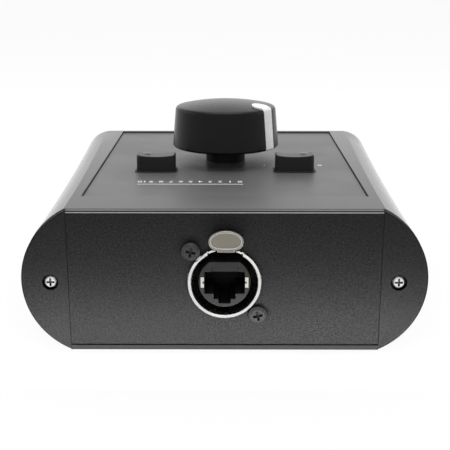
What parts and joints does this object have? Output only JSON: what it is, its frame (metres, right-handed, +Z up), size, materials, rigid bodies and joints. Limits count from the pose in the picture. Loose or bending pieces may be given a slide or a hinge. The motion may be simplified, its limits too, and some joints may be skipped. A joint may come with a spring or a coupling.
{
  "type": "subwoofer remote control",
  "caption": "Low wired desktop remote: round-sided black housing, large volume knob, two keys, network socket with push latch in the rear panel.",
  "frame": {"origin": "middle of the bounding box, on the plane the rubber feet stand on", "axes": "+X to the right as seen from the connector side, +Y from the connector side to the user's front side, +Z up"},
  "size_m": [0.1206, 0.137, 0.0675],
  "materials": {
    "shell_black": "satin black coat",
    "plate_black": "satin black coat",
    "panel_black": "fine grained black powder coat",
    "cap_black": "satin black coat",
    "control_panel_black": "satin black",
    "screw_silver": "zinc plated",
    "screw_black": "black",
    "foot_rubber": "matt",
    "bezel_black": "matt",
    "standoff_brass": "plain",
    "inner_screw_steel": "plain",
    "board_green": "solder mask",
    "pot_metal": "plain",
    "nut_black": "black",
    "washer_steel": "black",
    "switch_black": "matt",
    "header_cream": "matt",
    "cable_grey": "matt",
    "ring_nickel": "nickel plated",
    "insert_black": "matt",
    "contact_gold": "gold plated",
    "shield_metal": "plain",
    "connector_screw_black": "black",
    "pin_steel": "plain",
    "latch_metal": "satin",
    "knob_black": "satin",
    "pointer_white": "printed white",
    "shaft_metal": "plain",
    "rotor_brown": "matt",
    "key_black": "satin",
    "plunger_white": "matt"
  },
  "bodies": {
    "housing": {"top_shell": "shell_black", "bottom_plate": "plate_black", "rear_panel": "panel_black", "left_end_cap": "cap_black", "right_end_cap": "cap_black", "end_cap_screws": "screw_silver", "bottom_screws": "screw_black", "rubber_feet": "foot_rubber", "control_panel": "control_panel_black", "key_bezels": "bezel_black", "panel_standoffs": "standoff_brass", "board_screws": "inner_screw_steel", "control_board": "board_green", "pot_body": "pot_metal", "pot_nut": "nut_black", "pot_washer": "washer_steel", "left_switch_body": "switch_black", "right_switch_body": "switch_black", "board_header": "header_cream", "ribbon_cable": "cable_grey", "connector_header": "header_cream", "connector_board": "board_green", "connector_shell": "ring_nickel", "connector_insert": "insert_black", "jack_contacts": "contact_gold", "shield_contacts": "shield_metal", "connector_screws": "connector_screw_black", "latch_pin": "pin_steel"},
    "knob": {"volume_knob": "knob_black", "knob_pointer": "pointer_white", "pot_shaft": "shaft_metal", "pot_rotor": "rotor_brown"},
    "left_key": {"left_key_cap": "key_black", "left_plunger": "plunger_white"},
    "right_key": {"right_key_cap": "key_black", "right_plunger": "plunger_white"},
    "latch": {"push_latch": "latch_metal"}
  },
  "joints": [
    {"name": "knob_turn", "type": "hinge", "parent": "housing", "child": "knob", "pos_m": [0, 0.00855, 0.055], "axis": [0, 0, 1], "range_deg": [-206.3, 93.7]},
    {"name": "left_key_press", "type": "slide", "parent": "housing", "child": "left_key", "axis": [0, 0, -1], "range_m": [0, 0.0015], "stiffness_N_per_m": 600, "springref_m": -0.001},
    {"name": "right_key_press", "type": "slide", "parent": "housing", "child": "right_key", "axis": [0, 0, -1], "range_m": [0, 0.0015], "stiffness_N_per_m": 600, "springref_m": -0.001},
    {"name": "latch_push", "type": "hinge", "parent": "housing", "child": "latch", "pos_m": [0, -0.06245, 0.0338], "axis": [-1, 0, 0], "range_deg": [0, 8], "stiffness_Nm_per_rad": 0.15, "springref_deg": -5.73}
  ]
}
